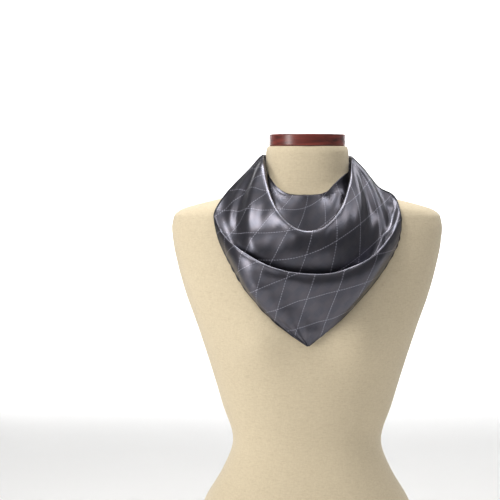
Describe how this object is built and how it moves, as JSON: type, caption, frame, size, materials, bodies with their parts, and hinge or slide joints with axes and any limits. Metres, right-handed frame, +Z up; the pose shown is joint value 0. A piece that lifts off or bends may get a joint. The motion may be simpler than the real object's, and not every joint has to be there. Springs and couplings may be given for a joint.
{
  "type": "silk square scarf on a dress form",
  "caption": "Silk square folded to a triangle, worn point forward with two cowl folds and knotted at the nape, on a limbless linen dress form with a wooden neck cap.",
  "frame": {"origin": "middle of the dress form's flat base", "axes": "+Z up through the neck, the front and the scarf's point face -Y, +X to the right as seen from the front"},
  "size_m": [0.391, 0.2635, 0.6875],
  "materials": {
    "satin": "silk satin with a common lattice of thin dotted lines",
    "hem": "hand-rolled silk hem",
    "linen": "natural linen cover",
    "wood": "polished mahogany"
  },
  "bodies": {
    "root": {"form_torso": "linen", "form_neck_cap": "wood", "scarf_cowl_inner": "satin", "scarf_cowl_middle": "satin", "scarf_front_point": "satin", "scarf_wrap_left": "satin", "scarf_wrap_right": "satin", "scarf_knot": "satin", "scarf_tail_left": "satin", "scarf_tail_right": "satin", "scarf_hem_left": "hem", "scarf_hem_right": "hem"}
  },
  "joints": []
}
